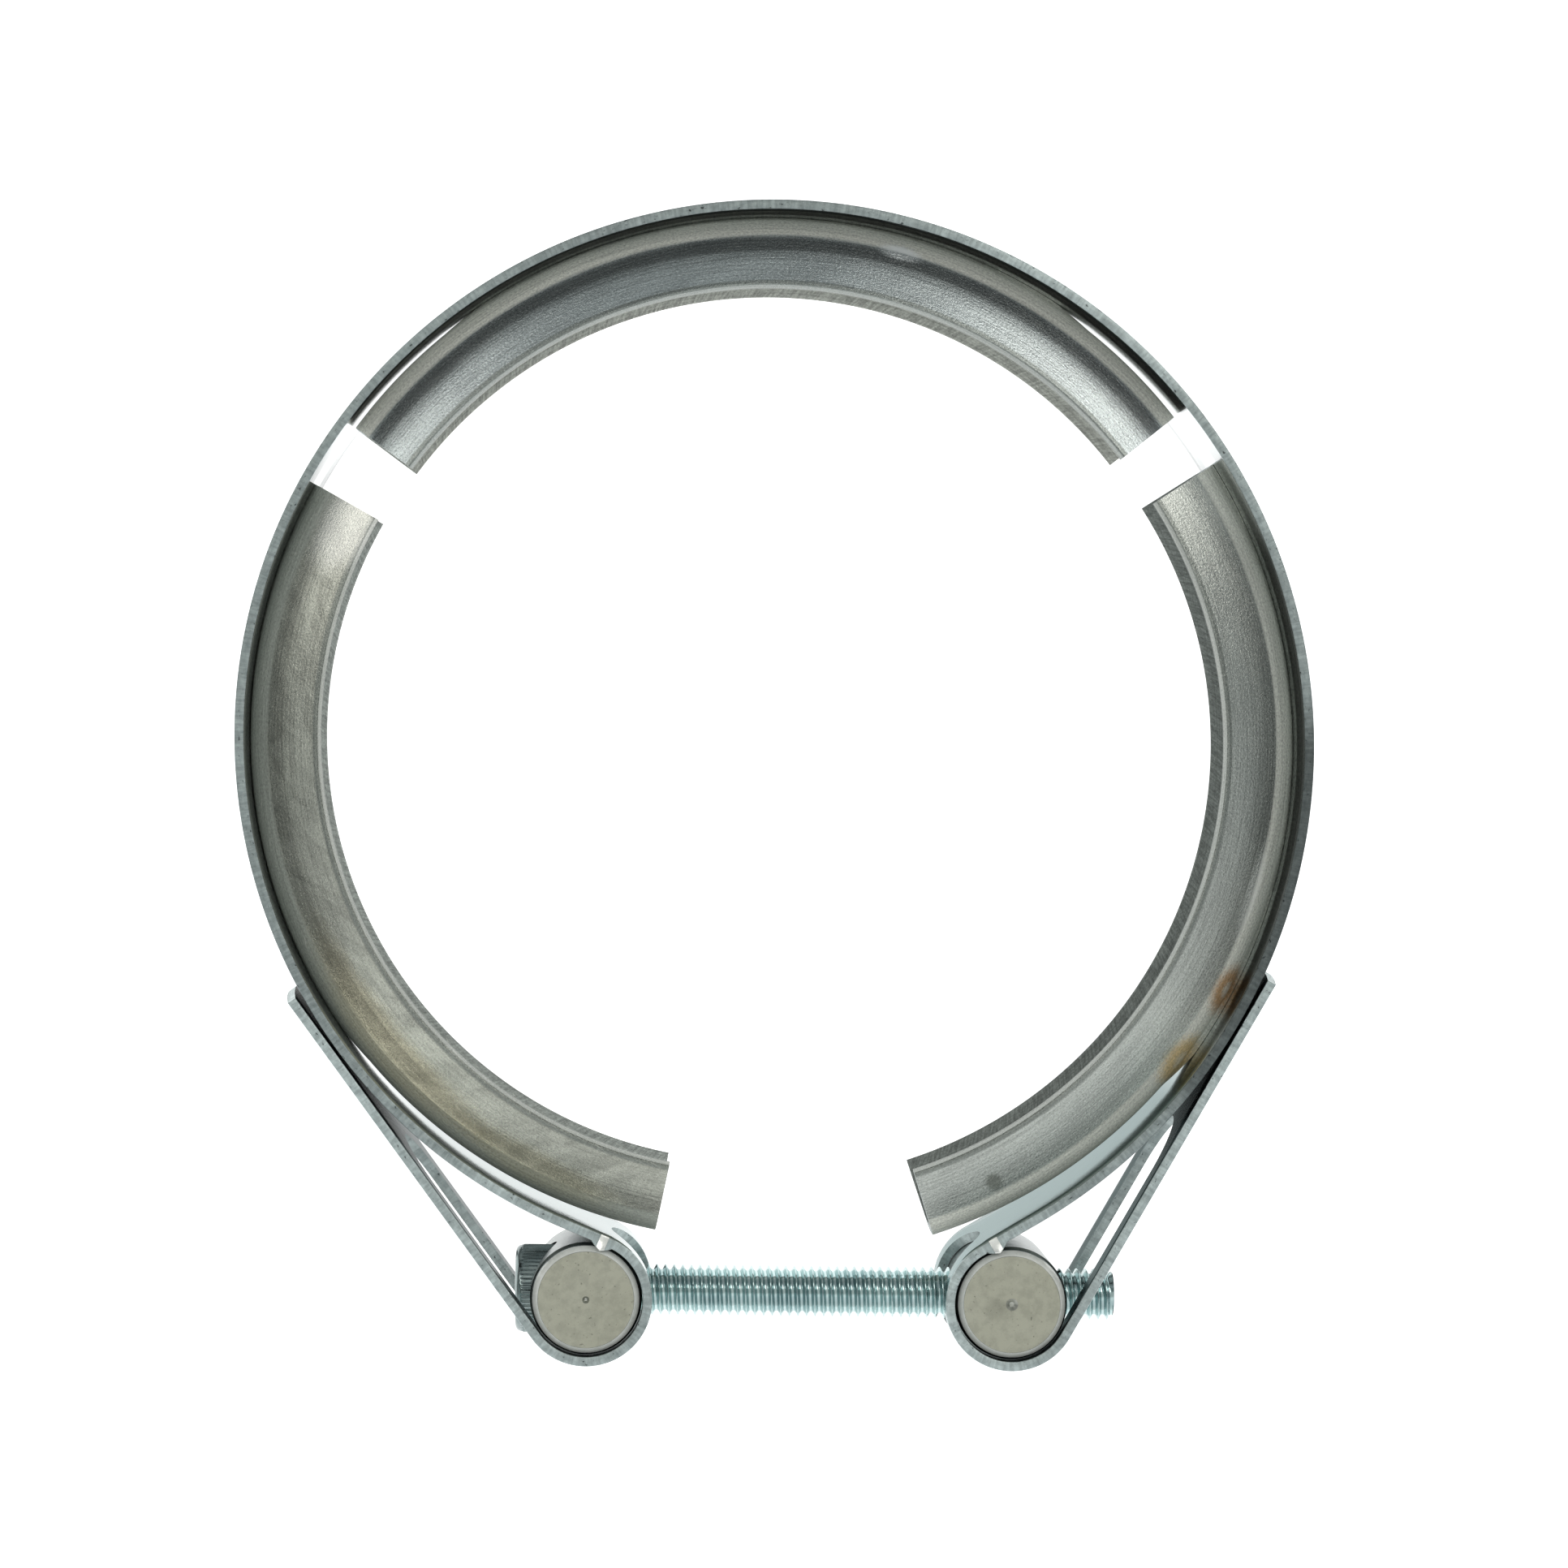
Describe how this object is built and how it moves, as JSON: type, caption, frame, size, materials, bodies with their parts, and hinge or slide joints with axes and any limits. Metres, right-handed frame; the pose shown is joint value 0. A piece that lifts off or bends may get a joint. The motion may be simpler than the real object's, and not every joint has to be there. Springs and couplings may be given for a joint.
{
  "type": "v-band clamp",
  "caption": "V-band clamp: V-section retainer segments inside a steel strip whose looped ends hold trunnions drawn together by a cap screw.",
  "frame": {"origin": "middle of the bottom of the clamp's bounding box, as it lies flat; the ring's axis is 5.2 mm towards +Y and 0.2 mm towards -X", "axes": "+Z along the ring's axis, +X along the screw from its head to its end, +Y from the mouth across the ring"},
  "size_m": [0.1236, 0.1338, 0.02],
  "materials": {
    "strip_steel": "cold-rolled stainless strip, bright faces and sheared grey edges",
    "segment_steel": "roll-formed stainless with draw lines, mottled satin and heat tint at the spot welds",
    "trunnion_steel": "matte turned bar with bright chamfers",
    "zinc_screw": "clear blue zinc plating"
  },
  "bodies": {
    "top": {"band_top": "strip_steel", "v_segment_top": "segment_steel"},
    "left_arm": {"band_left_arm": "strip_steel", "band_left_loop": "strip_steel", "v_segment_left": "segment_steel"},
    "right_arm": {"band_right_arm": "strip_steel", "band_right_loop": "strip_steel", "v_segment_right": "segment_steel"},
    "plain_trunnion": {"trunnion_plain": "trunnion_steel"},
    "threaded_trunnion": {"trunnion_threaded": "trunnion_steel"},
    "screw": {"clamp_screw": "zinc_screw"}
  },
  "joints": [
    {"name": "screw_turn", "type": "hinge", "parent": "plain_trunnion", "child": "screw", "pos_m": [-0.02084, -0.05929, 0.01], "axis": [1, 0, 0], "range_deg": [-6200, 6200]},
    {"name": "left_arm_flex", "type": "hinge", "parent": "top", "child": "left_arm", "pos_m": [-0.05187, 0.03795, 0.01], "axis": [0, 0, 1], "range_deg": [-5, 5]},
    {"name": "right_arm_flex", "type": "hinge", "parent": "top", "child": "right_arm", "pos_m": [0.04921, 0.0413, 0.01], "axis": [0, 0, -1], "range_deg": [-5, 5]},
    {"name": "plain_trunnion_swivel", "type": "hinge", "parent": "left_arm", "child": "plain_trunnion", "pos_m": [-0.02084, -0.05929, 0.01], "axis": [0, 0, 1], "range_deg": [-6, 6]},
    {"name": "threaded_trunnion_swivel", "type": "hinge", "parent": "right_arm", "child": "threaded_trunnion", "pos_m": [0.02796, -0.05929, 0.01], "axis": [0, 0, 1], "range_deg": [-4, 4]}
  ],
  "couplings": [
    {"joint": "left_arm_flex", "follows": "screw_turn", "ratio": 0.000805},
    {"joint": "right_arm_flex", "follows": "screw_turn", "ratio": 0.000805},
    {"joint": "plain_trunnion_swivel", "follows": "screw_turn", "ratio": -0.000966},
    {"joint": "threaded_trunnion_swivel", "follows": "screw_turn", "ratio": 0.000644}
  ]
}
